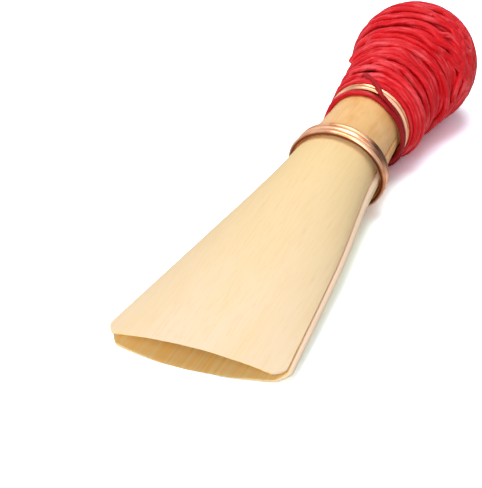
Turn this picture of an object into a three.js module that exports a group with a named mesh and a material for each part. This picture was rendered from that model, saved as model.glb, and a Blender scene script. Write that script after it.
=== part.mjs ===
// A bassoon reed, in millimetres and degrees: two cane blades, three wires and a thread turban.
// It is shaped along its own axes, X across the blades, Y from the tip to the butt and Z square to
// the blades, and is then tilted to lie as it rests, on its turban and on the lip of its lower blade.
import * as THREE from 'three';

// Lengths along the reed
const bladeLength = 28.5;
const firstToSecondWire = 7.4;
const secondToThirdWire = 13;
const thirdWireToButt = 5.3;

// Outline of the two blades, seen square to them
const tipWidth = 15.4;
const midBladeWidth = 12.1;
const firstWireWidth = 7.7;
const tubeDiameter = 6.7;
const buttDiameter = 7.8;
const leftCornerCut = 0.9;
const rightCornerCut = 0.95;

// Heights of each blade's outside over the seam
const midUpperHeight = 2.5;
const midLowerHeight = 2.1;
const firstWireUpperHeight = 3.45;
const firstWireLowerHeight = 3.3;
const secondWireUpperHeight = 3.6;

// The mouth at the tip: the rise of each lip's inner face and how the blades lie to each other
const upperCrown = 0.8;
const lowerCrown = 1.2;
const leftCornerGap = 0.45;
const lowerBladeSlip = 0.43;
const seamGap = 0.1;

// Thickness of the cane at the middle of a blade, and of the lands where the blades meet
const tipThickness = 0.2;
const midThickness = 0.6;
const collarThickness = 1.0;
const tubeWall = 1.15;
const boreDiameter = 5.5;
const tipLand = 0.3;
const edgeThickness = 0.15;
const barkDepth = 0.2;
const barkStepRun = 0.4;

// Wires
const wireDiameter = 0.6;
const wireLoopGap = 0.43;
const wireClearance = 0.12;
const firstWireTurns = 3;
const secondWireTurns = 2;
const thirdWireTurns = 2;
const wireEndAngle = 225;

// Thread turban
const threadDiameter = 0.7;
const threadLoopGap = 0.56;
const threadClearance = 0.12;
const coreClearance = 0.2;
const neckLayer = 0.15;
const neckRise = 0.6;
const turbanBuild = 2.4;
const turbanLean = 0.45;
const turbanLeanAngle = 20;
const bareButt = 0.8;

// The first turn of thread lies on the tip side of the second wire, then climbs over that wire
const crossingAngle = 60;
const liftSweep = 25;
const crossingSweep = 62.5;
const ringSweep = 295;

// How finely the surfaces are divided
const loopSteps = 24;
const tubeSides = 6;
const bladeSteps = 9;
const tubeSteps = 8;
const sectionPoints = 14;
const coreSegments = 28;
const neckSteps = 3;
const ballSteps = 9;
const profileSamples = 240;

const firstWireY = bladeLength;
const secondWireY = firstWireY + firstToSecondWire;
const thirdWireY = secondWireY + secondToThirdWire;
const reedLength = thirdWireY + thirdWireToButt;
const midBladeY = bladeLength / 2;
const wirePitch = wireDiameter + wireLoopGap;
const threadPitch = threadDiameter + threadLoopGap;

// A smooth run through [place, size] pairs that never swings past them.
function smoothThrough(pairs) {
  const chord = (i) => (pairs[i + 1][1] - pairs[i][1]) / (pairs[i + 1][0] - pairs[i][0]);
  const last = pairs.length - 1;
  const slopes = pairs.map((pair, i) => {
    if (i === 0) return chord(0);
    if (i === last) return chord(last - 1);
    const before = chord(i - 1);
    const after = chord(i);
    return before * after > 0 ? (2 * before * after) / (before + after) : 0;
  });
  return (place) => {
    let i = 0;
    while (i < last - 1 && place > pairs[i + 1][0]) i += 1;
    const run = pairs[i + 1][0] - pairs[i][0];
    const t = THREE.MathUtils.clamp((place - pairs[i][0]) / run, 0, 1);
    const rise = (1 - t) ** 2 * ((1 + 2 * t) * pairs[i][1] + t * run * slopes[i]);
    return rise + t ** 2 * ((3 - 2 * t) * pairs[i + 1][1] - (1 - t) * run * slopes[i + 1]);
  };
}

// Half the width of the cane, and the height of each blade's bark over the seam, along the reed
const halfWidth = smoothThrough([
  [0, tipWidth / 2],
  [midBladeY, midBladeWidth / 2],
  [firstWireY, firstWireWidth / 2],
  [secondWireY, tubeDiameter / 2],
  [reedLength, buttDiameter / 2],
]);

function heightAlong(crown, midHeight, firstWireHeight, secondWireHeight) {
  return smoothThrough([
    [0, crown + tipThickness],
    [midBladeY, midHeight],
    [firstWireY, firstWireHeight],
    [secondWireY, secondWireHeight],
    [reedLength, buttDiameter / 2],
  ]);
}
const upperHeight = heightAlong(upperCrown, midUpperHeight, firstWireUpperHeight, secondWireUpperHeight);
const lowerHeight = heightAlong(lowerCrown, midLowerHeight, firstWireLowerHeight, tubeDiameter / 2);

const thicknessAlong = smoothThrough([
  [0, tipThickness],
  [midBladeY, midThickness],
  [firstWireY, collarThickness],
  [secondWireY, tubeWall],
  [reedLength, (buttDiameter - boreDiameter) / 2],
]);
const landAlong = smoothThrough([
  [0, tipLand],
  [firstWireY, collarThickness],
  [secondWireY, tubeWall],
  [reedLength, (buttDiameter - boreDiameter) / 2],
]);

// Share of the way from the first wire to the tip
const tipShare = (y) => THREE.MathUtils.clamp(1 - y / bladeLength, 0, 1);

// The lower blade lies to the right of the upper one as far as the first wire, and in line at the second
function slipAt(y) {
  return lowerBladeSlip * THREE.MathUtils.clamp((secondWireY - y) / firstToSecondWire, 0, 1);
}

// Bark is scraped off the blades, down from a step that the first wire covers
const scrapeAt = (y) => barkDepth * THREE.MathUtils.clamp((firstWireY - y) / barkStepRun, 0, 1);

// Closed skin over rings of points, each ring running against the clock seen from the far end.
function loftGeometry(rings) {
  const count = rings[0].length;
  const index = [];
  for (let ring = 0; ring + 1 < rings.length; ring++) {
    for (let k = 0; k < count; k++) {
      const a = ring * count + k;
      const b = ring * count + (k + 1) % count;
      index.push(a, b, b + count);
      index.push(a, b + count, a + count);
    }
  }
  const far = (rings.length - 1) * count;
  for (let k = 0; k + 1 < count / 2; k++) {
    const partner = count - 1 - k;
    index.push(k + 1, k, partner - 1);
    index.push(partner - 1, k, partner);
    index.push(far + k, far + k + 1, far + partner - 1);
    index.push(far + k, far + partner - 1, far + partner);
  }
  const geometry = new THREE.BufferGeometry().setFromPoints(rings.flat());
  geometry.setIndex(index);
  geometry.computeVertexNormals();
  return geometry;
}

// One blade: its section is an arch that is half round on the tube and flattens towards the tip.
function bladeGeometry(isUpper) {
  const crown = isUpper ? upperCrown : lowerCrown;
  const height = isUpper ? upperHeight : lowerHeight;
  const up = isUpper ? 1 : -1;
  const cuts = [...new Set([0, leftCornerCut, rightCornerCut])].sort((a, b) => a - b);
  const tipEnd = cuts[cuts.length - 1];
  const stepY = firstWireY - barkStepRun;
  const stations = [...cuts];
  for (let i = 1; i < bladeSteps; i++) stations.push(tipEnd + (stepY - tipEnd) * i / bladeSteps);
  stations.push(stepY);
  for (let i = 0; i <= tubeSteps; i++) {
    stations.push(firstWireY + (reedLength - firstWireY) * i / tubeSteps);
  }

  const rings = stations.map((y) => {
    const half = halfWidth(y);
    const share = tipShare(y);
    const power = (1 + share) / 2;
    const top = height(y) - scrapeAt(y);
    const roof = y === 0 ? crown : top - thicknessAlong(y) + scrapeAt(y);
    const room = half - landAlong(y);
    const left = Math.min(half, halfWidth(0) - leftCornerCut + y);
    const right = Math.min(half, halfWidth(0) - rightCornerCut + y);
    const slip = isUpper ? 0 : slipAt(y);

    // The left corner stands open and the gap closes towards the right and the first wire
    const seamAt = (x) => seamGap / 2 + leftCornerGap / 2 * share ** 2 * (1 - x / half) / 2;
    const arch = (x, reach) => Math.max(0, 1 - (x / reach) ** 2) ** power;
    const place = (x, z) => new THREE.Vector3(x + slip, y, up * z);

    const outer = [];
    const inner = [];
    const start = Math.acos(left / half);
    const end = Math.PI - Math.acos(right / half);
    const innerLeft = Math.min(room, left - edgeThickness / 2);
    const innerRight = Math.min(room, right - edgeThickness / 2);
    for (let i = 0; i < sectionPoints; i++) {
      const x = -half * Math.cos(start + (end - start) * i / (sectionPoints - 1));
      outer.push(place(x, seamAt(x) + edgeThickness + (top - edgeThickness) * arch(x, half)));
      const turn = Math.PI * (i - 1) / (sectionPoints - 3);
      let xIn = -innerLeft * Math.cos(turn);
      if (turn > Math.PI / 2) xIn = -innerRight * Math.cos(turn);
      if (i === 0) xIn = -left;
      if (i === sectionPoints - 1) xIn = right;
      inner.push(place(xIn, seamAt(xIn) + roof * arch(xIn, room)));
    }
    return isUpper ? [...outer, ...inner.reverse()] : [...inner, ...outer.reverse()];
  });
  return loftGeometry(rings);
}

// Round tube along a line of points, with its two ends drawn out straight by one diameter.
function tubeGeometry(line, diameter) {
  const points = [...line];
  const lead = line[0].clone().sub(line[1]).setLength(diameter);
  const tail = line[line.length - 1].clone().sub(line[line.length - 2]).setLength(diameter);
  points.unshift(line[0].clone().add(lead));
  points.push(line[line.length - 1].clone().add(tail));

  const across = new THREE.Vector3(0, 1, 0);
  const rings = points.map((point, i) => {
    const before = points[Math.max(0, i - 1)];
    const after = points[Math.min(points.length - 1, i + 1)];
    const along = after.clone().sub(before).normalize();
    across.addScaledVector(along, -across.dot(along)).normalize();
    const beside = along.clone().cross(across);
    return Array.from({ length: tubeSides }, (unused, k) => {
      const turn = 2 * Math.PI * (k + 1 / 2) / tubeSides;
      return point.clone()
        .addScaledVector(across, diameter / 2 * Math.cos(turn))
        .addScaledVector(beside, diameter / 2 * Math.sin(turn));
    });
  });
  return loftGeometry(rings);
}

// The least gap that a wound tube leaves to itself, between turns at least half a loop apart
function leastGap(points, diameter) {
  const nearest = new THREE.Vector3();
  let least = Infinity;
  for (let i = 0; i + 1 < points.length; i++) {
    const run = new THREE.Line3(points[i], points[i + 1]);
    for (let j = i + loopSteps / 2; j < points.length; j++) {
      run.closestPointToPoint(points[j], true, nearest);
      least = Math.min(least, nearest.distanceTo(points[j]) - diameter);
    }
  }
  return least;
}

// A wire wound round the oval cane at one place, a number of whole turns, its ends below on the left
function wireLine(centreY, turns) {
  const points = [];
  const offset = wireClearance + wireDiameter / 2;
  for (let i = 0; i <= turns * loopSteps; i++) {
    const angle = THREE.MathUtils.degToRad(wireEndAngle) + 2 * Math.PI * i / loopSteps;
    const y = centreY + wirePitch * (i / loopSteps - turns / 2);
    const side = Math.cos(angle);
    const rise = Math.sin(angle);
    const middle = slipAt(y) / 2;
    const half = halfWidth(y) + middle;
    const tall = (rise > 0 ? upperHeight(y) : lowerHeight(y)) + seamGap / 2;
    const outward = new THREE.Vector3(tall * side, 0, half * rise).normalize();
    points.push(new THREE.Vector3(middle + half * side, y, tall * rise).addScaledVector(outward, offset));
  }
  return points;
}
const wireBandHalf = (turns) => (turns * wirePitch + wireDiameter) / 2;

// The turban's inner layers: a thin sleeve on the neck that swells into a ball over the third wire
const tubeRadius = (y) => Math.max(halfWidth(y) + slipAt(y), upperHeight(y)) + seamGap / 2;
const besideSecondWire = wireBandHalf(secondWireTurns) + threadClearance + threadDiameter / 2;
const ringY = secondWireY - besideSecondWire;
const neckY = secondWireY + besideSecondWire;
const windingEndY = reedLength - bareButt;
const ballRadius = tubeRadius(thirdWireY) + turbanBuild;
const coreBallRadius = ballRadius - threadDiameter - threadClearance;

function ballAt(y, radius) {
  return Math.sqrt(Math.max(0, radius ** 2 - (y - thirdWireY) ** 2));
}
function neckAt(y) {
  const share = THREE.MathUtils.clamp((y - neckY) / (thirdWireY - ballRadius / 2 - neckY), 0, 1);
  return tubeRadius(y) + coreClearance + neckLayer + neckRise * share;
}
function buttAt(y) {
  return y > thirdWireY ? tubeRadius(y) + coreClearance + neckLayer : neckAt(y);
}
const coreAt = (y) => Math.max(buttAt(y), ballAt(y, coreBallRadius));
const threadSeat = threadClearance + threadDiameter / 2;
const seatAt = (y) => Math.max(buttAt(y) + threadSeat, ballAt(y, coreBallRadius + threadSeat));

function coreGeometry() {
  const startY = neckY - threadDiameter / 2;
  const endY = windingEndY + threadDiameter / 2;
  const grooveHalf = wireBandHalf(thirdWireTurns) + wireClearance;
  const grooveDepth = 2 * wireClearance + wireDiameter;
  const grooveStart = thirdWireY - grooveHalf;
  const grooveEnd = thirdWireY + grooveHalf;
  const bulgeY = thirdWireY - coreBallRadius * Math.cos(Math.asin(neckAt(grooveStart) / coreBallRadius));
  const profile = [];
  for (let i = 0; i < neckSteps; i++) {
    const y = startY + (bulgeY - startY) * i / neckSteps;
    profile.push(new THREE.Vector2(coreAt(y), y));
  }
  for (let i = 0; i <= ballSteps; i++) {
    const y = bulgeY + (endY - bulgeY) * i / ballSteps;
    profile.push(new THREE.Vector2(coreAt(y), y));
  }
  const seat = (y, depth) => new THREE.Vector2(tubeRadius(y) + depth, y);
  profile.push(seat(endY, coreClearance));
  profile.push(seat(grooveEnd, coreClearance));
  profile.push(seat(grooveEnd, grooveDepth));
  profile.push(seat(grooveStart, grooveDepth));
  profile.push(seat(grooveStart, coreClearance));
  profile.push(seat((startY + grooveStart) / 2, coreClearance));
  profile.push(seat(startY, coreClearance));
  profile.push(profile[0].clone());
  return new THREE.LatheGeometry(profile, coreSegments);
}

// The outer thread: a turn before the second wire, a climb over it, then turns along the turban
function threadLine() {
  const points = [];
  const degree = (angle) => THREE.MathUtils.degToRad(angle);
  const around = (angle, y, radius) => {
    points.push(new THREE.Vector3(radius * Math.cos(angle), y, radius * Math.sin(angle)));
  };
  const ease = (t) => (1 - Math.cos(Math.PI * THREE.MathUtils.clamp(t, 0, 1))) / 2;

  const crossY = neckY - ringY;
  const total = ringSweep + 2 * liftSweep + crossingSweep;
  const ringSteps = Math.round(total * loopSteps / 360);
  const low = tubeRadius(ringY) + wireClearance + threadDiameter / 2;
  const high = tubeRadius(secondWireY) + wireClearance + wireDiameter + wireClearance + threadDiameter / 2;
  const first = crossingAngle - ringSweep;
  for (let i = 0; i < ringSteps; i++) {
    const swept = total * i / ringSteps;
    const y = ringY + crossY * ease((swept - ringSweep - liftSweep) / crossingSweep);
    const risen = ease((swept - ringSweep) / liftSweep);
    const fallen = ease((swept - ringSweep - liftSweep - crossingSweep) / liftSweep);
    const radius = low + (high - low) * risen + (seatAt(neckY) - high) * fallen;
    around(degree(first + swept), y, radius);
  }

  // Lengths along the turban's profile, so that the turns keep one spacing over neck and ball
  const profile = [];
  let length = 0;
  for (let i = 0; i <= profileSamples; i++) {
    const y = neckY + (windingEndY - neckY) * i / profileSamples;
    const radius = seatAt(y);
    const before = profile[profile.length - 1];
    if (before) length += Math.hypot(y - before.y, radius - before.radius);
    profile.push({ y, radius, length });
  }
  const turns = Math.floor(length / threadPitch);
  for (let i = 0; i <= turns * loopSteps; i++) {
    const share = i / (turns * loopSteps);
    const angle = degree(first + total) + 2 * Math.PI * i / loopSteps;
    const lean = turbanLean * Math.sin(Math.PI * share) * Math.sin(angle - degree(turbanLeanAngle));
    const reach = THREE.MathUtils.clamp(length * share + lean, 0, length);
    const next = Math.max(1, profile.findIndex((sample) => sample.length >= reach));
    const from = profile[next - 1];
    const to = profile[next];
    const part = (reach - from.length) / (to.length - from.length);
    const radius = THREE.MathUtils.lerp(from.radius, to.radius, part);
    around(angle, THREE.MathUtils.lerp(from.y, to.y, part), radius);
  }
  return points;
}

const reed = new THREE.Group();
const pieces = {};

function addPiece(name, geometry, color, roughness, metalness) {
  const material = new THREE.MeshStandardMaterial({ color, roughness, metalness });
  pieces[name] = new THREE.Mesh(geometry, material);
  pieces[name].name = name;
  reed.add(pieces[name]);
}

function addWound(name, line, diameter, color, roughness, metalness) {
  console.log(`${name}: least gap to itself ${leastGap(line, diameter).toFixed(3)} mm`);
  addPiece(name, tubeGeometry(line, diameter), color, roughness, metalness);
}

addPiece('upper_blade', bladeGeometry(true), '#f4dba9', 0.6, 0);
addPiece('lower_blade', bladeGeometry(false), '#efcf98', 0.6, 0);
addWound('first_wire', wireLine(firstWireY, firstWireTurns), wireDiameter, '#c9784f', 0.3, 1);
addWound('second_wire', wireLine(secondWireY, secondWireTurns), wireDiameter, '#c9784f', 0.3, 1);
addWound('third_wire', wireLine(thirdWireY, thirdWireTurns), wireDiameter, '#c9784f', 0.3, 1);
addPiece('thread_core', coreGeometry(), '#a5121f', 0.7, 0);
addWound('outer_thread', threadLine(), threadDiameter, '#d92b36', 0.6, 0);

// The height of a piece's lowest point once the reed is tilted with its butt up
function lowestPoint(name, tilt) {
  const place = pieces[name].geometry.attributes.position;
  let lowest = Infinity;
  for (let i = 0; i < place.count; i++) {
    lowest = Math.min(lowest, place.getY(i) * Math.sin(tilt) + place.getZ(i) * Math.cos(tilt));
  }
  return lowest;
}

// The tilt at which the turban and the first piece in front of it both touch the table
function restingTilt() {
  const ahead = ['lower_blade', 'first_wire', 'second_wire'];
  let flat = 0;
  let steep = Math.PI / 4;
  while (steep - flat > 1e-9) {
    const tilt = (flat + steep) / 2;
    const front = Math.min(...ahead.map((name) => lowestPoint(name, tilt)));
    if (front > lowestPoint('outer_thread', tilt)) flat = tilt;
    else steep = tilt;
  }
  return flat;
}

reed.rotation.x = restingTilt();
reed.updateMatrixWorld(true);
const box = new THREE.Box3().setFromObject(reed, true);
const centre = box.getCenter(new THREE.Vector3());
reed.position.set(-centre.x, -centre.y, -box.min.z);

const group = new THREE.Group();
group.add(reed);
group.updateMatrixWorld(true);

export default group;
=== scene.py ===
import math

import bpy
import numpy as np
from mathutils import Matrix, Vector


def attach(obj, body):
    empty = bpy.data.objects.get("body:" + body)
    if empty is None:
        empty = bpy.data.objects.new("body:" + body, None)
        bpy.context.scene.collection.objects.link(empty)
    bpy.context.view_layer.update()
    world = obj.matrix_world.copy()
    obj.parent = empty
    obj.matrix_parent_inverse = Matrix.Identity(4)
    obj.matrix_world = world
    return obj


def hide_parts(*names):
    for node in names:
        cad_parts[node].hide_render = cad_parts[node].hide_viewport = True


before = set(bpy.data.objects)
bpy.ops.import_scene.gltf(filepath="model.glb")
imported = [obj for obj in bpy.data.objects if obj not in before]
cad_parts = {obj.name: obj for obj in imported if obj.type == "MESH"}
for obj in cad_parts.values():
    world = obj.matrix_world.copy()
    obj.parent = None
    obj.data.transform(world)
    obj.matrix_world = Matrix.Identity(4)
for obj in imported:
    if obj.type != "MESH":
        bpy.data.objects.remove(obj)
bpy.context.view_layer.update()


# The cane: an upper and a lower blade
# Two halves of one split tube of cane, folded tip to tip, cut apart there and scraped thin from the first
# wire to the lips. The bark is left on from the first wire to the butt, where the halves close into a tube.
blade_length = 28.5
first_wire_y = blade_length
first_to_second_wire = 7.4
second_wire_y = first_wire_y + first_to_second_wire
third_wire_y = second_wire_y + 13
reed_length = third_wire_y + 5.3
mid_blade_y = blade_length / 2
bore_radius = 5.5 / 2
tube_radius = 6.7 / 2
butt_radius = 7.8 / 2
tip_half_width = 15.4 / 2
lower_blade_slip = 0.43
seam_gap, left_corner_gap = 0.1, 0.45
edge_thickness, bark_depth, bark_step_run = 0.15, 0.2, 0.4

# The reed is shaped along its own axes in millimetres, X across the blades and Y from the tip to the butt.
# It rests on its turban and on the lip of its lower blade, which tilts it.
rest_tilt = math.radians(5.6732)
rest_shift = np.array([-0.215, -27.1133, 1.3875])


def at_rest(points):
    """Points of the reed's own frame in millimetres, in metres where the reed lies."""
    x, y, z = np.asarray(points, float).reshape(-1, 3).T
    level = y * math.cos(rest_tilt) - z * math.sin(rest_tilt)
    height = y * math.sin(rest_tilt) + z * math.cos(rest_tilt)
    return (np.stack([x, level, height], 1) + rest_shift) / 1000


def smooth_through(*pairs):
    """A smooth run through (place, size) pairs that never swings past them."""
    places, sizes = np.array(pairs, float).T
    chords = np.diff(sizes) / np.diff(places)
    slopes = np.concatenate([chords[:1], np.zeros(len(pairs) - 2), chords[-1:]])
    for i in range(1, len(pairs) - 1):
        before, after = chords[i - 1], chords[i]
        if before * after > 0:
            slopes[i] = 2 * before * after / (before + after)

    def run(place):
        i = np.clip(np.searchsorted(places, place, side="right") - 1, 0, len(pairs) - 2)
        width = places[i + 1] - places[i]
        t = np.clip((place - places[i]) / width, 0, 1)
        rise = (1 - t) ** 2 * ((1 + 2 * t) * sizes[i] + t * width * slopes[i])
        return rise + t ** 2 * ((3 - 2 * t) * sizes[i + 1] - (1 - t) * width * slopes[i + 1])

    return run


half_width = smooth_through(
    (0, tip_half_width), (mid_blade_y, 6.05), (first_wire_y, 3.85),
    (second_wire_y, tube_radius), (reed_length, butt_radius))
thickness = smooth_through(
    (0, 0.2), (mid_blade_y, 0.6), (first_wire_y, 1.0),
    (second_wire_y, 1.15), (reed_length, butt_radius - bore_radius))
land = smooth_through(
    (0, 0.3), (first_wire_y, 1.0), (second_wire_y, 1.15), (reed_length, butt_radius - bore_radius))


def height_over_seam(crown, mid_height, first_wire_height, second_wire_height):
    """The outside of a blade over the seam, from the crown of its lip to the butt."""
    return smooth_through(
        (0, crown + 0.2), (mid_blade_y, mid_height), (first_wire_y, first_wire_height),
        (second_wire_y, second_wire_height), (reed_length, butt_radius))


upper_height = height_over_seam(0.8, 2.5, 3.45, 3.6)
lower_height = height_over_seam(1.2, 2.1, 3.3, tube_radius)


def slip_at(y):
    """How far the lower blade lies to the right: evenly to the first wire, and in line at the second."""
    return lower_blade_slip * np.clip((second_wire_y - y) / first_to_second_wire, 0, 1)


def ring_faces(rings, count, closed_ends=True):
    """Faces of a skin over rings of points, and of flat ends that join each point to its partner."""
    ring = np.arange(rings - 1)[:, None] * count
    k = np.arange(count)[None, :]
    a, b = ring + k, ring + (k + 1) % count
    faces = np.stack([a, b, b + count, a + count], -1).reshape(-1, 4)
    if not closed_ends:
        return faces
    k = np.arange(count // 2 - 1)
    partner = count - 1 - k
    near = np.stack([k + 1, k, partner, partner - 1], -1)
    far = np.stack([k, k + 1, partner - 1, partner], -1) + (rings - 1) * count
    return np.concatenate([faces, near, far])


def build_mesh(name, points, faces, **marks):
    """A smooth mesh where the reed lies, with named vectors marked on its points."""
    mesh = bpy.data.meshes.new(name)
    mesh.from_pydata(at_rest(points).tolist(), [], faces.tolist())
    mesh.polygons.foreach_set("use_smooth", [True] * len(mesh.polygons))
    for label, vectors in marks.items():
        marked = mesh.attributes.new(label, "FLOAT_VECTOR", "POINT").data
        marked.foreach_set("vector", np.asarray(vectors, np.float32).ravel())
    mesh.update()
    piece = bpy.data.objects.new(name, mesh)
    bpy.context.scene.collection.objects.link(piece)
    return piece


def corner(y, half, across, along):
    """Half the width at y where a corner of the tip is cut by across and along, a little rounded."""
    roundness = 1.3
    left = np.clip(1 - y / along, 0, 1)
    return half - across * (1 - (1 - left ** roundness) ** (1 / roundness))


def blade_mesh(name, crown, height, up, left_cut, right_cut, sag):
    """One blade, arched up or down from the seam. The lip is crown high inside, its corners are cut by
    (across, along) pairs, and near the lip sag tips the arch down towards the right."""
    across = 64
    lip_run, lip_wave, lip_wave_run = 1.2, 0.012, 2
    step_y = first_wire_y - bark_step_run
    stations = np.concatenate([
        np.linspace(0, 1, 15) ** 1.5 * lip_run, np.linspace(lip_run, step_y, 90)[1:],
        np.linspace(step_y, first_wire_y, 6)[1:], np.linspace(first_wire_y, reed_length, 60)[1:]])
    lip_random = np.random.default_rng(11 if up > 0 else 12)
    lip_waves = [(lip_random.uniform(0.5, 2.2), lip_random.uniform(0, 6.3)) for wave in range(5)]
    rings = []
    for y in stations:
        half = half_width(y)
        share = np.clip(1 - y / blade_length, 0, 1)
        power = (1 + share) / 2
        scrape_depth = bark_depth * np.clip((first_wire_y - y) / bark_step_run, 0, 1)
        top = height(y) - scrape_depth
        roof = crown if y == 0 else top - thickness(y) + scrape_depth
        room = half - land(y)
        left, right = corner(y, half, *left_cut), corner(y, half, *right_cut)

        def arch(x, reach):
            return np.maximum(0, 1 - (x / reach) ** 2) ** power * (1 - sag * share ** 2 * x / reach)

        def seam(x):
            return seam_gap / 2 + left_corner_gap / 4 * share ** 2 * (1 - x / half)

        x_out = -half * np.cos(np.linspace(math.acos(left / half), math.pi - math.acos(right / half), across))
        z_out = seam(x_out) + edge_thickness + (top - edge_thickness) * arch(x_out, half)
        inner_left = min(room, left - edge_thickness / 2)
        inner_right = min(room, right - edge_thickness / 2)
        turn = np.linspace(0, math.pi, across - 2)
        x_in = np.where(turn > math.pi / 2, -inner_right * np.cos(turn), -inner_left * np.cos(turn))
        x_in = np.concatenate([[-left], x_in, [right]])
        z_in = seam(x_in) + roof * arch(x_in, room)
        x = np.concatenate([x_out, x_in[::-1]])
        z = np.concatenate([z_out, z_in[::-1]])
        wave = sum(np.sin(x * rate + start) for rate, start in lip_waves)
        wave = wave * lip_wave * max(0, 1 - y / lip_wave_run)
        slip = slip_at(y) if up < 0 else 0
        rings.append(np.stack([x + slip, y + wave, up * z], -1))
    rings = np.array(rings)
    if up < 0:
        rings = rings[:, ::-1]
    count = 2 * across
    faces = ring_faces(len(stations), count)
    piece = build_mesh(name, rings, faces, grain=rings.reshape(-1, 3))

    # Four finishes of the same cane: scraped, bark, gouged, and cut along the edges. Beyond the first wire
    # the edges are closed and have the colour of the bark.
    scraped, bark, gouged, cut = range(4)
    column = faces[:, 0] % count
    outside = column < across - 1 if up > 0 else (column >= across) & (column < count - 1)
    edges = (across - 1, count - 1, across, count - 2) if up > 0 else (across - 1, count - 1, 0, across - 2)
    before_wire = stations[faces[:, 0] // count] < first_wire_y
    finish = np.where(np.isin(column, edges), np.where(before_wire, cut, bark), gouged)
    finish = np.where(outside, np.where(before_wire, scraped, bark), finish)
    finish[(len(stations) - 1) * count:] = gouged
    piece.data.polygons.foreach_set("material_index", finish.astype(np.int32))
    return piece


def srgb(code):
    """A colour as the screen shows it, '#rrggbb', as the linear numbers that a shader takes."""
    parts = [int(code[i:i + 2], 16) / 255 for i in (1, 3, 5)]
    return [p / 12.92 if p <= 0.04045 else ((p + 0.055) / 1.055) ** 2.4 for p in parts] + [1]


def add_node(tree, kind, sockets=(), **settings):
    """Adds one shader node, sets it up, and fills its sockets with values or with other nodes' outputs."""
    node = tree.nodes.new("ShaderNode" + kind)
    for name, value in settings.items():
        setattr(node, name, value)
    for socket, value in dict(sockets).items():
        if isinstance(value, bpy.types.NodeSocket):
            tree.links.new(value, node.inputs[socket])
        else:
            node.inputs[socket].default_value = value
    return node


def new_material(name, **surface):
    """A material of that name, with the numbers of its Principled surface set."""
    material = bpy.data.materials.new(name)
    material.use_nodes = True
    shader = material.node_tree.nodes["Principled BSDF"]
    for socket, value in surface.items():
        shader.inputs[socket.replace("_", " ")].default_value = value
    return material, material.node_tree, shader


def grain_noise(tree, width, length, detail):
    """Noise drawn out along the grain: width and length of its marks in millimetres."""
    grain = add_node(tree, "Attribute", attribute_name="grain")
    stretched = add_node(tree, "Mapping", {
        "Vector": grain.outputs["Vector"], "Scale": (1 / width, 1 / length, 1 / width)})
    return add_node(tree, "TexNoise", {
        "Vector": stretched.outputs["Vector"], "Scale": 1, "Detail": detail}).outputs["Fac"]


def laid_over(tree, ground, mask, start, full, most, colour):
    """A colour laid over the ground as the mask goes from start to full, where most of it is the colour."""
    share = add_node(tree, "MapRange", {
        "Value": mask, "From Min": start, "From Max": full, "To Min": 0, "To Max": most})
    return add_node(tree, "Mix", {
        "Factor": share.outputs["Result"], "A": ground, "B": srgb(colour)},
        data_type="RGBA").outputs["Result"]


def dress(tree, shader, colour, relief, strength, depth):
    """Gives the surface its colour and a fine relief, depth in millimetres."""
    ridges = add_node(tree, "Bump", {"Height": relief, "Strength": strength, "Distance": depth / 1000})
    tree.links.new(colour, shader.inputs["Base Color"])
    tree.links.new(ridges.outputs["Normal"], shader.inputs["Normal"])


# Scraped cane is matt and pale, cream at the lips and straw towards the wire, with fibres along it
scraped_cane, tree, shader = new_material("scraped_cane", Roughness=0.62, IOR=1.5)
fibres = grain_noise(tree, 0.22, 5, 4)
patches = grain_noise(tree, 2.2, 9, 2)
flecks = grain_noise(tree, 0.14, 1.6, 1)
grain = add_node(tree, "Attribute", attribute_name="grain")
place = add_node(tree, "SeparateXYZ", {"Vector": grain.outputs["Vector"]})
colour = laid_over(tree, srgb("#fbe4c4"), place.outputs["Y"], 0, 28, 1, "#fadda2")
colour = laid_over(tree, colour, patches, 0.42, 0.68, 0.45, "#f9dda8")
colour = laid_over(tree, colour, fibres, 0.45, 0.75, 0.3, "#efc98b")
colour = laid_over(tree, colour, flecks, 0.62, 0.8, 0.13, "#cf9c5c")
dress(tree, shader, colour, fibres, 0.35, 0.04)

# Bark is the hard skin of the cane: golden tan, smooth with a slight shine, mottled and lightly lined
cane_bark, tree, shader = new_material("cane_bark", Roughness=0.42, IOR=1.5)
mottle = grain_noise(tree, 1.4, 3.2, 3)
lines = grain_noise(tree, 0.16, 9, 2)
colour = laid_over(tree, srgb("#fac986"), mottle, 0.4, 0.7, 1, "#e9aa62")
colour = laid_over(tree, colour, lines, 0.55, 0.8, 0.2, "#c48f4e")
dress(tree, shader, colour, lines, 0.25, 0.04)

# Gouged cane, inside the blades, is smooth and amber, with even stripes of fibre
gouged_cane, tree, shader = new_material("gouged_cane", Roughness=0.5, IOR=1.5)
stripes = grain_noise(tree, 0.35, 12, 2)
colour = laid_over(tree, srgb("#ffe8ac"), stripes, 0.35, 0.65, 1, "#ffd480")
dress(tree, shader, colour, stripes, 0.2, 0.04)

# Cut cane, on the long edges where the two blades meet, is raw and pale, faintly pink and porous
cut_cane, tree, shader = new_material("cut_cane", Roughness=0.7, IOR=1.5)
pores = grain_noise(tree, 0.2, 2.5, 3)
colour = laid_over(tree, srgb("#fee9d2"), pores, 0, 1, 1, "#f6d8b6")
tree.links.new(colour, shader.inputs["Base Color"])

upper_cane = blade_mesh("upper_cane", 0.8, upper_height, 1, (1.05, 1.35), (0.95, 0.95), 0)
lower_cane = blade_mesh("lower_cane", 1.2, lower_height, -1, (0.8, 0.9), (1.05, 0.95), 0.2)
for piece, node in ((upper_cane, "upper_blade"), (lower_cane, "lower_blade")):
    for material in (scraped_cane, cane_bark, gouged_cane, cut_cane):
        piece.data.materials.append(material)
    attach(piece, "root")
    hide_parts(node)


# The three binding wires
# Each is one length of soft drawn wire, copper in colour, pulled tight round the cane in touching turns.
# Its two ends are twisted together under the reed, cut short and pressed flat.
wire_diameter = 0.57
cane_clearance = 0.02
wire_end_angle = 225


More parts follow.
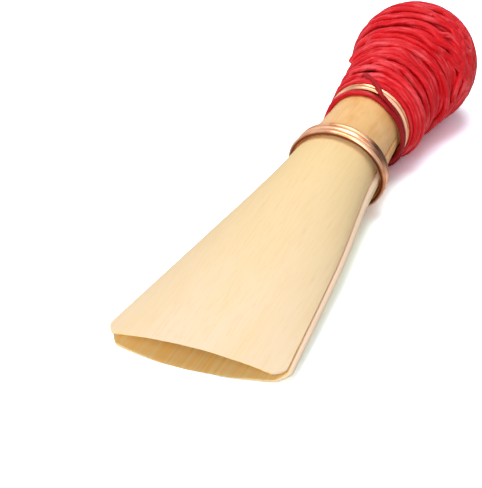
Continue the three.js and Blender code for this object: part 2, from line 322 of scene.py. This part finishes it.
def tube_mesh(name, line, across, size, sides, plies=0, ply_depth=0.0, ply_pitch=1.0, squash=None):
    """A closed round tube along a line of points. across are the outward directions, and a twisted
    thread shows its plies as lobes that turn once in ply_pitch millimetres."""
    line = np.asarray(line, float)
    along = np.gradient(line, axis=0)
    steps = np.linalg.norm(np.diff(line, axis=0), axis=1)
    reach = np.concatenate([[0], np.cumsum(steps)])
    along /= np.linalg.norm(along, axis=1, keepdims=True)
    outward = across - (across * along).sum(1, keepdims=True) * along
    outward /= np.linalg.norm(outward, axis=1, keepdims=True)
    beside = np.cross(along, outward)
    turn = 2 * math.pi * (np.arange(sides) + 0.5) / sides
    radius = np.broadcast_to(np.asarray(size, float) / 2, (len(line),))[:, None]
    if plies:
        lobes = np.abs(np.cos(plies / 2 * (turn[None, :] - 2 * math.pi * reach[:, None] / ply_pitch)))
        radius = radius * (1 + ply_depth * (lobes - 1))
    else:
        radius = radius * np.ones((1, sides))
    tall = 1 if squash is None else np.asarray(squash, float)[:, None]
    rise = (radius * np.sin(turn) * tall)[..., None] * outward[:, None, :]
    width = (radius * np.cos(turn))[..., None] * beside[:, None, :]
    points = (line[:, None, :] + rise + width).reshape(-1, 3)
    lay = np.stack(np.broadcast_arrays(reach[:, None], turn[None, :] / (2 * math.pi), radius), -1)
    faces = ring_faces(len(line), sides)[:, ::-1]
    return build_mesh(name, points, faces, lay=lay.reshape(-1, 3))


def oval_point(y, angle, offset):
    """A point outside the oval of the cane, and its outward direction."""
    side, rise = np.cos(angle), np.sin(angle)
    middle = slip_at(y) / 2
    half = half_width(y) + middle
    tall = np.where(rise > 0, upper_height(y), lower_height(y)) + seam_gap / 2
    outward = np.stack([tall * side, 0 * side, half * rise], -1)
    outward /= np.linalg.norm(outward, axis=-1, keepdims=True)
    point = np.stack([middle + half * side, y + 0 * side, tall * rise], -1)
    return point + outward * np.asarray(offset)[..., None], outward


def binding_wire(name, centre_y, turns, twist_towards, climb):
    """A wire wound on the cane, its ends led together and twisted into a short tail along the cane."""
    steps, bridge, loose_points, lead_points, lead_rise = 90, 0.1, 3, 8, 0.25
    angle = math.radians(wire_end_angle) + np.linspace(0, 2 * math.pi * turns, turns * steps + 1)
    share = np.linspace(0, 1, len(angle))
    y = centre_y + climb * wire_diameter * (turns * share - turns / 2)

    # The wire bridges the step at the seam on the right, where the lower blade stands out
    stand_off = bridge * np.maximum(0, np.cos(angle + math.radians(25))) ** 2
    wound, outward = oval_point(y, angle, wire_diameter / 2 + cane_clearance + stand_off)

    # The tail: both ends turn round one axis that leaves the wire outwards and lies down on the cane
    twists, tail_start, tail_length, tail_drift = 3.5, 0.3, 3.4, 0.22
    tail_lift, tail_arch, tail_droop = 0.95, 0.35, 0.25
    t = np.linspace(0, 1, 80)
    tail_y = centre_y + twist_towards * (tail_start + tail_length * t)
    lift = tail_lift + tail_arch * np.sin(math.pi * np.minimum(1, 2.2 * t)) - tail_droop * t
    axis_line, axis_out = oval_point(tail_y, math.radians(wire_end_angle) + tail_drift * t, lift)
    axis_along = np.gradient(axis_line, axis=0)
    axis_along /= np.linalg.norm(axis_along, axis=1, keepdims=True)
    beside = np.cross(axis_along, axis_out)
    spin = 2 * math.pi * twists * t
    strands = []
    for phase in (0, math.pi):
        arm = np.cos(spin + phase)[:, None] * beside + np.sin(spin + phase)[:, None] * axis_out
        strands.append(axis_line + arm * wire_diameter / 2 * np.minimum(1, 0.55 + 2 * t)[:, None])

    def lead(from_point, to_point):
        t = np.linspace(0, 1, lead_points)[1:-1, None]
        middle = (from_point + to_point) / 2
        outward = np.array([middle[0], 0, middle[2]])
        outward /= np.linalg.norm(outward)
        return from_point * (1 - t) + to_point * t + outward * lead_rise * np.sin(math.pi * t)

    near, far = (strands[0], strands[1]) if twist_towards > 0 else (strands[1], strands[0])
    wound = wound[loose_points:-loose_points]
    line = np.concatenate([near[::-1], lead(near[0], wound[0]), wound, lead(wound[-1], far[0]), far])
    centre = np.stack([0 * line[:, 0], line[:, 1], 0 * line[:, 2]], -1)
    return tube_mesh(name, line, line - centre, wire_diameter, 12)


# Drawn copper-coloured wire: bright metal with fine lines along it, dull in patches, brown down its sides
# where the turns touch, as tarnish and painted shade, and darkened by painted shade at one place on the right
# of the first wire
drawn_line_length, drawn_lines_round, dull_patch_length = 2, 14, 2
copper_wire, tree, shader = new_material("drawn_copper_wire", Metallic=1.0)
lay = add_node(tree, "Attribute", attribute_name="lay")
drawn = add_node(tree, "Mapping", {
    "Vector": lay.outputs["Vector"], "Scale": (1 / drawn_line_length, drawn_lines_round, 1)})
lines = add_node(tree, "TexNoise", {"Vector": drawn.outputs["Vector"], "Scale": 1, "Detail": 3})
patches = add_node(tree, "TexNoise", {
    "Vector": lay.outputs["Vector"], "Scale": 1 / dull_patch_length, "Detail": 2})
place = add_node(tree, "SeparateXYZ", {"Vector": lay.outputs["Vector"]})
turn = add_node(tree, "Math", {0: place.outputs["Y"], 1: 2 * math.pi}, operation="MULTIPLY")
tarnish_and_shade_sides = add_node(tree, "Math", {0: turn.outputs["Value"]}, operation="COSINE")
tarnish_and_shade_sides = add_node(tree, "Math", {0: tarnish_and_shade_sides.outputs["Value"]}, operation="ABSOLUTE")
spot = add_node(tree, "TexCoord")
# Painted shade: the wire is darkened around this place on the right of the first wire
painted_shade_spot = at_rest((4.2, first_wire_y + wire_diameter + 0.5, 1.9))[0]
from_painted_shade_spot = add_node(tree, "VectorMath", {
    0: spot.outputs["Object"], 1: painted_shade_spot.tolist()}, operation="DISTANCE")
colour = laid_over(tree, srgb("#ffcaa6"), patches.outputs["Fac"], 0.35, 0.65, 1, "#cf8c64")
# Tarnish and painted shade: the sides of each turn, where it touches its neighbours, are darkened brown
colour = laid_over(tree, colour, tarnish_and_shade_sides.outputs["Value"], 0.72, 1, 1, "#7a442e")
colour = laid_over(tree, colour, from_painted_shade_spot.outputs["Value"], 0.0024, 0.001, 0.9, "#38201a")
dress(tree, shader, colour, lines.outputs["Fac"], 0.15, 0.02)
dullness = add_node(tree, "MapRange", {
    "Value": lines.outputs["Fac"], "From Min": 0.3, "From Max": 0.7, "To Min": 0.2, "To Max": 0.34})
tree.links.new(dullness.outputs["Result"], shader.inputs["Roughness"])

# Each wire's middle, its turns, which way its tail points and which way it climbs along the reed
second_wire_middle = second_wire_y + 0.5
for name, node, *winding in (
        ("first_binding_wire", "first_wire", first_wire_y, 3, 1, 1),
        ("second_binding_wire", "second_wire", second_wire_middle, 2, -1, -1),
        ("third_binding_wire", "third_wire", third_wire_y, 2, -1, 1)):
    wire = binding_wire(name, *winding)
    wire.data.materials.append(copper_wire)
    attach(wire, "root")
    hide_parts(node)


# The thread turban
# One long red waxed thread, whose inner layers fill a neck and a ball. Its outer turns run from the second
# wire to the butt and back over the ball, leaning both ways, and its far end is tied before that wire.
thread_size = 0.66
thread_flatness = 0.86
thread_rise = thread_size * thread_flatness
ball_radius = 6.28
ball_lift = 0.1
neck_room = 0.5
turn_climb = 0.28
neck_start_y = second_wire_y + 1.0
winding_end_y = reed_length - 0.8
neck_outer = smooth_through(
    (34.5, 3.95), (35.5, 4.04), (36.6, 4.15), (37.5, 4.2), (38.5, 4.45), (39.5, 4.62), (41.5, 4.78),
    (43, 4.88), (45.7, 5.15), (reed_length, 5.3))


def ball_at(y, radius):
    """How far a ball of this radius over the third wire reaches from the reed's middle line."""
    return np.sqrt(np.maximum(0, radius ** 2 - (y - third_wire_y) ** 2))


def tube_at(y):
    """The radius of a round tube as wide as the cane."""
    return half_width(y) + seam_gap / 2


def above_tube(y, around):
    """How far the cane's upper blade stands out of a round tube of its width."""
    tall, wide = upper_height(y) + seam_gap / 2, tube_at(y)
    side, rise = np.cos(around), np.maximum(0, np.sin(around))
    return np.where(rise > 0, tall * wide / np.hypot(tall * side, wide * rise) - wide, 0)


# What the outer turns lie on: the cane, then the inner layers of the neck and of the ball
base_y = np.linspace(second_wire_y - 1.8, winding_end_y, 700)
neck_base = np.where(base_y < third_wire_y, neck_outer(base_y) - thread_rise, 0)
base_r = np.maximum.reduce([
    tube_at(base_y) + cane_clearance, (neck_base - turn_climb) * (base_y > neck_start_y),
    ball_at(base_y, ball_radius - 2 * thread_rise)])
smoothing = np.hanning(21) / np.hanning(21).sum()
base_r = np.convolve(np.pad(base_r, 10, mode="edge"), smoothing, mode="valid")
base_steps = np.hypot(np.diff(base_y), np.diff(base_r))
base_s = np.concatenate([[0], np.cumsum(base_steps)])


def s_at(y):
    """The length along the base, up its slopes, as far as this place."""
    return np.interp(y, base_y, base_s)


cells_round = 90
step_angle = 360 / cells_round
thread_random = np.random.default_rng(5)


def drift(angle, size, smooth_turns):
    """Slow random drift of a thread from its even place, in millimetres."""
    turns = (angle - angle[0]) / 360 / smooth_turns
    knots = thread_random.normal(0, size, int(turns[-1]) + 3)
    return np.interp(turns, np.arange(len(knots)), knots)


# The turns from the second wire, whose far strand the first of them covers, to the butt
wind_start, neck_start = 200, 440
turn_back_y = winding_end_y - 0.35
under_length = s_at(turn_back_y) - s_at(neck_start_y)
under_turns = int(under_length / thread_size)
under_end = neck_start + 360 * under_turns
back_turns, last_rest = 13, 152
last_angle = under_end + 360 * back_turns
end_angle = last_angle + (last_rest - last_angle) % 360
angle = np.arange(wind_start, end_angle, step_angle)
under_s = s_at(neck_start_y) + under_length * np.clip((angle - neck_start) / (360 * under_turns), 0, 1)
under_y = np.interp(under_s, base_s, base_y) + drift(angle, 0.07, 0.5)

# The first turns lie a little aslant, less with each turn
slant, slant_side, slant_fade = 0.2, 20, 500
under_y += slant * np.cos(np.radians(angle - slant_side)) * np.exp((wind_start - angle) / slant_fade)

# The turns back over the ball: their middle places, and how far they lean to the butt on top
back = (angle - under_end) / 360
lean_side = 100
back_marks = [0, 1, 2, 6.5, 7.5, 9, 12.5, 12.8, 13]
middle_y = third_wire_y + np.interp(back, back_marks, [
    turn_back_y - third_wire_y, 2.0, 1.4, -2.0, 2.2, 1.2, -2.0, -5.2, -5.7])
lean = np.interp(back, back_marks, [0, -1, -1.5, -1.5, 2.1, 3.2, 3.5, 0.3, 0])
lean = lean * (1 + drift(angle, 0.07, 1.2))
back_y = middle_y + lean * np.cos(np.radians(angle - lean_side)) + drift(angle, 0.1, 0.4)
y = np.where(angle < under_end, under_y, back_y)
blend = np.hanning(9) / np.hanning(9).sum()
y = np.convolve(np.pad(y, 4, mode="edge"), blend, mode="valid")

# Here and there the turns part and the dark inner layers show: angle, place, half length and opening
parting_fade, parting_edge = 0.9, 0.15
for at_angle, at_y, reach, opening in (
        (79, 38.1, 9, 0.42), (97, 38.8, 9, 0.32), (78, 40.6, 10, 0.3), (53, 47.9, 10, 0.5),
        (119, 46.3, 10, 0.4), (108, 48.1, 8, 0.3), (23, 48.4, 8, 0.3)):
    round_off = (angle - at_angle + 180) % 360 - 180
    push = opening * np.exp(-(round_off / reach) ** 2) * np.exp(-np.abs(y - at_y) / parting_fade)
    y = y + push * np.tanh((y - at_y) / parting_edge)

# The thread is laid turn by turn. A turn rests on what already lies under it, and being pulled tight it
# runs straight over the dips between. Where the two leaning layers cross, the inner layers lie deeper.
cell = 0.03
crossing_y, crossing_run, crossing_side = 48.7, 1.5, 0.45
cell_s = np.arange(int(base_s[-1] / cell) + 2) * cell
cell_y = np.interp(cell_s, base_s, base_y)
cell_lean = np.cos(np.radians(np.arange(cells_round) * step_angle - lean_side))
lay_height = -thread_rise * np.exp(
    -(cell_lean[:, None] / crossing_side) ** 2 - ((cell_y[None, :] - crossing_y) / crossing_run) ** 4)
cell_around = np.radians(np.arange(cells_round) * step_angle)[:, None]
cell_r = np.interp(cell_s, base_s, base_r)

# The neck is a little fuller on its right side, and this fades out towards the ball
fullness, full_to_y, fullness_run = 0.26, third_wire_y - 8.5, 3
fuller_right = fullness * np.clip((full_to_y - cell_y) / fullness_run, 0, 1)
lay_height = lay_height + fuller_right * np.cos(cell_around + math.radians(15))
cane = above_tube(cell_y[None, :], cell_around) + tube_at(cell_y) + cane_clearance - cell_r
lay_height = np.maximum(lay_height, cane)

# The two strands of the second wire lie under the first turns
turned = (np.degrees(cell_around) - wire_end_angle) % 360 / 360
for strand in (0, 1):
    wire_s = s_at(second_wire_middle + (strand - turned) * wire_diameter)
    bump = np.sqrt(np.maximum(0, (wire_diameter / 2) ** 2 - (cell_s - wire_s) ** 2))
    lay_height = np.maximum(lay_height, np.where(bump > 0, cane + bump + wire_diameter / 2, -1))
cells_beside = 12
window = np.arange(-cells_beside, cells_beside + 1)
taut = math.cos(math.radians(step_angle))


def lay_thread(angle, places, size, flatness):
    """Lays thread at these places along the base and returns the height of its middle over the base."""
    heights = np.zeros(len(places))
    for start in range(0, len(places), cells_round):
        part = slice(start, min(start + cells_round, len(places)))
        columns = np.round(angle[part] / step_angle).astype(int) % cells_round
        nearest = np.round(places[part] / cell).astype(int)
        rows = np.clip(nearest[:, None] + window[None, :], 0, len(cell_s) - 1)
        half = size[part, None] / 2
        rise = np.sqrt(np.maximum(0, half ** 2 - (window * cell)[None, :] ** 2)) * flatness[part, None]
        height = np.where(rise > 0, lay_height[columns[:, None], rows] + rise, -1).max(1)
        radius = np.interp(places[part], base_s, base_r)
        for pull in range(60):
            chord = (height[:-2] + height[2:] + radius[:-2] + radius[2:]) / 2 * taut - radius[1:-1]
            height[1:-1] = np.maximum(height[1:-1], chord)
        heights[part] = height
        top = np.where(rise > 0, height[:, None] + rise, -1)
        np.maximum.at(lay_height, (columns[:, None], rows), top)
    for smoothing_pass in range(3):
        heights[1:-1] = (heights[:-2] + 2 * heights[1:-1] + heights[2:]) / 4
    return heights


# The far end: a tight turn and a half round the cane, a crossing over the wire on top and a tuck between
# the first turns of the neck. It is laid once those turns lie there, and before the rest.
end_turn = np.arange(-88, 470, step_angle)
tied_y = second_wire_y + np.interp(
    end_turn, [-88, -20, 45, 80, 250, 330, 426, 434, 468],
    [-0.6, -0.85, -0.85, -0.56, -0.5, -0.4, -0.4, 0.3, 2.6])
tied_size = np.interp(end_turn, [40, 90, 240, 300, 422, 434], [0.46, 0.6, 0.6, 0.46, 0.46, 0.52])
size = np.interp(angle, [end_angle - 16, end_angle - 6], [thread_size, thread_size * 1.25])
flatness = np.interp(angle, [560, 760], [0.34, thread_flatness])
places, tied_places = s_at(y), s_at(tied_y)
early = angle < wind_start + 1200
heights = np.zeros(len(angle))
heights[early] = lay_thread(angle[early], places[early], size[early], flatness[early])
tied_heights = lay_thread(end_turn, tied_places, tied_size, np.full(len(end_turn), thread_flatness))
tuck_depth = 0.6
tied_heights -= tuck_depth * np.clip((end_turn - 450) / 14, 0, 1) ** 2
heights[~early] = lay_thread(angle[~early], places[~early], size[~early], flatness[~early])


def thread_mesh(name, angle, places, heights, size, flatness):
    """Thread through these places and heights, at a step fine enough for its twist."""
    fine = np.linspace(0, len(places) - 1, int(len(places) * 1.8))
    coarse = np.arange(len(places))
    angle, places, heights, size, flatness = (
        np.interp(fine, coarse, values) for values in (angle, places, heights, size, flatness))
    around = np.radians(angle)
    normal_y = -np.interp(places, base_s, np.gradient(base_r, base_s))
    normal_r = np.interp(places, base_s, np.gradient(base_y, base_s))
    y = np.interp(places, base_s, base_y) + normal_y * heights
    r = np.interp(places, base_s, base_r) + normal_r * heights
    outside = np.maximum.reduce([
        ball_at(y, ball_radius) + ball_lift * np.sin(around),
        np.where(y < third_wire_y, neck_outer(y) + neck_room, 0), tube_at(y) + thread_rise])
    r = np.minimum(r, outside - size / 2 * flatness)
    line = np.stack([r * np.cos(around), y, r * np.sin(around)], -1)
    outward = np.stack([normal_r * np.cos(around), normal_y, normal_r * np.sin(around)], -1)
    return tube_mesh(name, line, outward, size, 12, plies=3, ply_depth=0.08, ply_pitch=2.4, squash=flatness)


wound_thread = thread_mesh("wound_thread", angle, places, heights, size, flatness)
tied_thread = thread_mesh(
    "tied_thread", end_turn, tied_places, tied_heights, tied_size, np.full(len(end_turn), thread_flatness))

# Waxed thread: red with a soft shine, streaked along by its fine fibres, and paler pink in patches of about
# 2.4 mm, for thick wax and as painted sheen. It is darker where its radius is small, which is painted shade
# on the thin tied turns and in the grooves between its plies. The fibres are drawn coarser than real ones.
fibre_length, fibres_round, wax_and_sheen_patches_in_a_metre = 2, 7, 420
red_thread, tree, shader = new_material(
    "waxed_red_thread", Roughness=0.45, IOR=1.5, Specular_IOR_Level=0.18)
lay = add_node(tree, "Attribute", attribute_name="lay")
drawn = add_node(tree, "Mapping", {
    "Vector": lay.outputs["Vector"], "Scale": (1 / fibre_length, fibres_round, 1)})
fibres = add_node(tree, "TexNoise", {"Vector": drawn.outputs["Vector"], "Scale": 1, "Detail": 4})
spot = add_node(tree, "TexCoord")
clouds = add_node(tree, "TexNoise", {
    "Vector": spot.outputs["Object"], "Scale": wax_and_sheen_patches_in_a_metre, "Detail": 4})
wax_and_sheen = add_node(tree, "Math", {0: clouds.outputs["Fac"], 1: fibres.outputs["Fac"]}, operation="ADD")
place = add_node(tree, "SeparateXYZ", {"Vector": lay.outputs["Vector"]})
colour = laid_over(tree, srgb("#da101c"), fibres.outputs["Fac"], 0.35, 0.65, 1, "#f62834")
# Thick wax and painted sheen: paler pink in patches along the thread
colour = laid_over(tree, colour, wax_and_sheen.outputs["Value"], 1.02, 1.3, 0.8, "#ff6a72")
# Painted shade: darker red where the radius is small, on the thin tied turns before the second wire and in
# the ply grooves
colour = laid_over(tree, colour, place.outputs["Z"], 0.33, 0.23, 0.8, "#7c0a12")
dress(tree, shader, colour, fibres.outputs["Fac"], 0.5, 0.05)

# The same thread where it shows between the turns, dull and nearly brown: painted shade
painted_shade_thread, tree, shader = new_material("shaded_inner_red_thread", Roughness=0.7, IOR=1.5, Specular_IOR_Level=0.1)
lay = add_node(tree, "Attribute", attribute_name="lay")
fibres = add_node(tree, "TexNoise", {"Vector": lay.outputs["Vector"], "Scale": 3, "Detail": 3})
colour = laid_over(tree, srgb("#5a0610"), fibres.outputs["Fac"], 0, 1, 1, "#8a0e18")
tree.links.new(colour, shader.inputs["Base Color"])

# The inner layers, which show only between the outer turns, in dark red painted shade
core_y = np.linspace(neck_start_y, winding_end_y, 260)
core_depth, ridge_height, core_clearance = 0.05, 0.08, 0.03
core_s = np.interp(core_y, base_y, base_s)
core_ridges = ridge_height * (np.abs(np.sin(math.pi * core_s / thread_size)) - 1)
core_r = np.interp(core_y, base_y, base_r) - core_depth + core_ridges
core_turn = np.linspace(0, 2 * math.pi, 97)[:-1]
hollow_r = np.maximum(tube_at(core_y), upper_height(core_y) + seam_gap / 2) + core_clearance
skin = np.concatenate([core_r, hollow_r[::-1]])
skin_y = np.concatenate([core_y, core_y[::-1]])
skin_points = np.stack([
    skin[:, None] * np.cos(core_turn), skin_y[:, None] + 0 * core_turn,
    skin[:, None] * np.sin(core_turn)], -1)
core_faces = ring_faces(len(skin) + 1, len(core_turn), closed_ends=False) % (len(skin) * len(core_turn))
core_lay = np.stack(np.broadcast_arrays(
    core_turn[None, :] * skin[:, None], (skin_y[:, None] / thread_size) % 1, 0 * core_turn[None, :]), -1)
inner_thread = build_mesh("inner_thread", skin_points, core_faces, lay=core_lay.reshape(-1, 3))
for piece, node, material in (
        (wound_thread, "outer_thread", red_thread), (tied_thread, "outer_thread", red_thread),
        (inner_thread, "thread_core", painted_shade_thread)):
    piece.data.materials.append(material)
    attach(piece, "root")
    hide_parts(node)


# The table
# A sheet of white paper under the reed. The camera sees it brighter than paper, so that only the tight
# shadow stays grey, and far from the reed it turns plain white, so that the sheet shows no edge.
sheet_side, near_edge, far_edge = 1, -1, 1.4


def background_rays(tree):
    """The camera's rays, and all rays that show the background, also by way of metal or glass."""
    ray = add_node(tree, "LightPath")
    shown = add_node(tree, "Math", {
        0: ray.outputs["Is Camera Ray"], 1: ray.outputs["Is Glossy Ray"]}, operation="MAXIMUM")
    shown = add_node(tree, "Math", {
        0: shown.outputs["Value"], 1: ray.outputs["Is Transmission Ray"]}, operation="MAXIMUM")
    return ray.outputs["Is Camera Ray"], shown.outputs["Value"]


sheet_mesh = bpy.data.meshes.new("white_table")
sheet_mesh.from_pydata([
    (-sheet_side, near_edge, 0), (sheet_side, near_edge, 0), (sheet_side, far_edge, 0),
    (-sheet_side, far_edge, 0)], [], [(0, 1, 2, 3)])
white_table = bpy.data.objects.new("white_table", sheet_mesh)
bpy.context.scene.collection.objects.link(white_table)
white_paper, tree, shader = new_material("white_paper", Roughness=0.9, Specular_IOR_Level=0)
shader.inputs["Emission Color"].default_value = srgb("#ffffff")
camera_ray, shown = background_rays(tree)
sheet_colour = add_node(tree, "Mix", {
    "Factor": camera_ray, "A": (0.85, 0.85, 0.85, 1), "B": (2.2, 2.65, 3.0, 1)}, data_type="RGBA")
tree.links.new(sheet_colour.outputs["Result"], shader.inputs["Base Color"])
spot = add_node(tree, "NewGeometry")
away = add_node(tree, "VectorMath", {0: spot.outputs["Position"]}, operation="LENGTH")
lift = add_node(tree, "MapRange", {
    "Value": away.outputs["Value"], "From Min": 0.05, "From Max": 0.3, "To Min": 0, "To Max": 1})
glow = add_node(tree, "Math", {0: shown, 1: lift.outputs["Result"]}, operation="MULTIPLY")
tree.links.new(glow.outputs["Value"], shader.inputs["Emission Strength"])
sheet_mesh.materials.append(white_paper)


# Light and camera
# A broad lamp overhead, another low in front, and a pale surround, which the camera and the metal see as
# white.
for name, place, width, energy in (
        ("soft_lamp", (-0.03, -0.02, 0.47), 0.36, 1.42), ("front_lamp", (0.04, -0.41, 0.22), 0.42, 1.25)):
    lamp = bpy.data.lights.new(name, "AREA")
    lamp.shape = "DISK"
    lamp.size = width
    lamp.energy = energy
    lamp.color = (1, 0.985, 0.96)
    hung_lamp = bpy.data.objects.new(name, lamp)
    hung_lamp.location = place
    hung_lamp.rotation_euler = (-hung_lamp.location).to_track_quat("-Z", "Y").to_euler()
    bpy.context.scene.collection.objects.link(hung_lamp)

surround = bpy.data.worlds.new("pale_surround")
bpy.context.scene.world = surround
surround.use_nodes = True
tree = surround.node_tree
tree.nodes.clear()
camera_ray, shown = background_rays(tree)
fill = add_node(tree, "Background", {"Color": (0.97, 0.95, 1, 1), "Strength": 0.14})
white = add_node(tree, "Background", {"Color": (1, 1, 1, 1), "Strength": 1})
both = add_node(tree, "MixShader", {
    0: shown, 1: fill.outputs["Background"], 2: white.outputs["Background"]})
add_node(tree, "OutputWorld", {"Surface": both.outputs["Shader"]})

# The camera stands as far and as high as the photograph's, aimed at the middle of the blades
camera_data = bpy.data.cameras.new("camera")
camera_data.lens = 102.26
camera_data.clip_start = 0.005
camera = bpy.data.objects.new("camera", camera_data)
bpy.context.scene.collection.objects.link(camera)
bpy.context.scene.camera = camera
turn, rise, roll = math.radians(29.084), math.radians(34.158), math.radians(-5.951)
aim, distance = np.array([-2.814, 14.692, 0]), 115.391
back = Vector((math.sin(turn) * math.cos(rise), -math.cos(turn) * math.cos(rise), math.sin(rise)))
right = Vector((math.cos(turn), math.sin(turn), 0))
up = back.cross(right)
tilted = Matrix.Rotation(rest_tilt, 3, "X") @ Matrix((
    right * math.cos(roll) + up * math.sin(roll),
    up * math.cos(roll) - right * math.sin(roll), back)).transposed()
camera.matrix_world = Matrix.Translation(at_rest(aim + np.array(back) * distance)[0]) @ tilted.to_4x4()

bpy.context.scene.view_settings.view_transform = "Standard"
